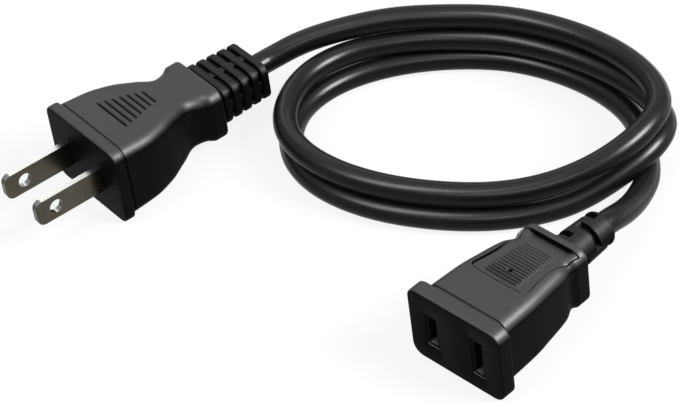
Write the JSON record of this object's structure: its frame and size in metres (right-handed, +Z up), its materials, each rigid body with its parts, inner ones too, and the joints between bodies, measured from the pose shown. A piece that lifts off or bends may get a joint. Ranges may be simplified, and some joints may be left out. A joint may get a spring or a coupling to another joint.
{
  "type": "short extension cord",
  "caption": "Short black extension cord with a moulded flat-blade plug, a moulded slotted socket with a ribbed grip panel, and a round cord laid in a coil.",
  "frame": {"origin": "centre of the plug and socket's common box, on the table that they lie on", "axes": "+X to the right and +Y away as seen from the picture's side, +Z up from the table"},
  "size_m": [0.1497, 0.119, 0.02],
  "materials": {
    "moulding": "satin black moulding",
    "jacket": "semi-gloss black jacket",
    "blade": "nickel plated",
    "contact": "bare spring brass",
    "wire": "bare copper strands",
    "core": "smooth insulation",
    "insert": "plain insulating plastic"
  },
  "bodies": {
    "root": {"plug_body": "moulding", "plug_bridge": "insert", "socket_body": "moulding", "socket_carrier": "insert", "cord_coil": "jacket", "cord_crossover": "jacket", "cord_plug_lead": "jacket", "cord_socket_lead": "jacket", "plug_blade_left": "blade", "plug_wire_left": "wire", "plug_core_left": "core", "socket_contact_left": "contact", "socket_wire_left": "wire", "socket_core_left": "core", "plug_blade_right": "blade", "plug_wire_right": "wire", "plug_core_right": "core", "socket_contact_right": "contact", "socket_wire_right": "wire", "socket_core_right": "core"}
  },
  "joints": []
}
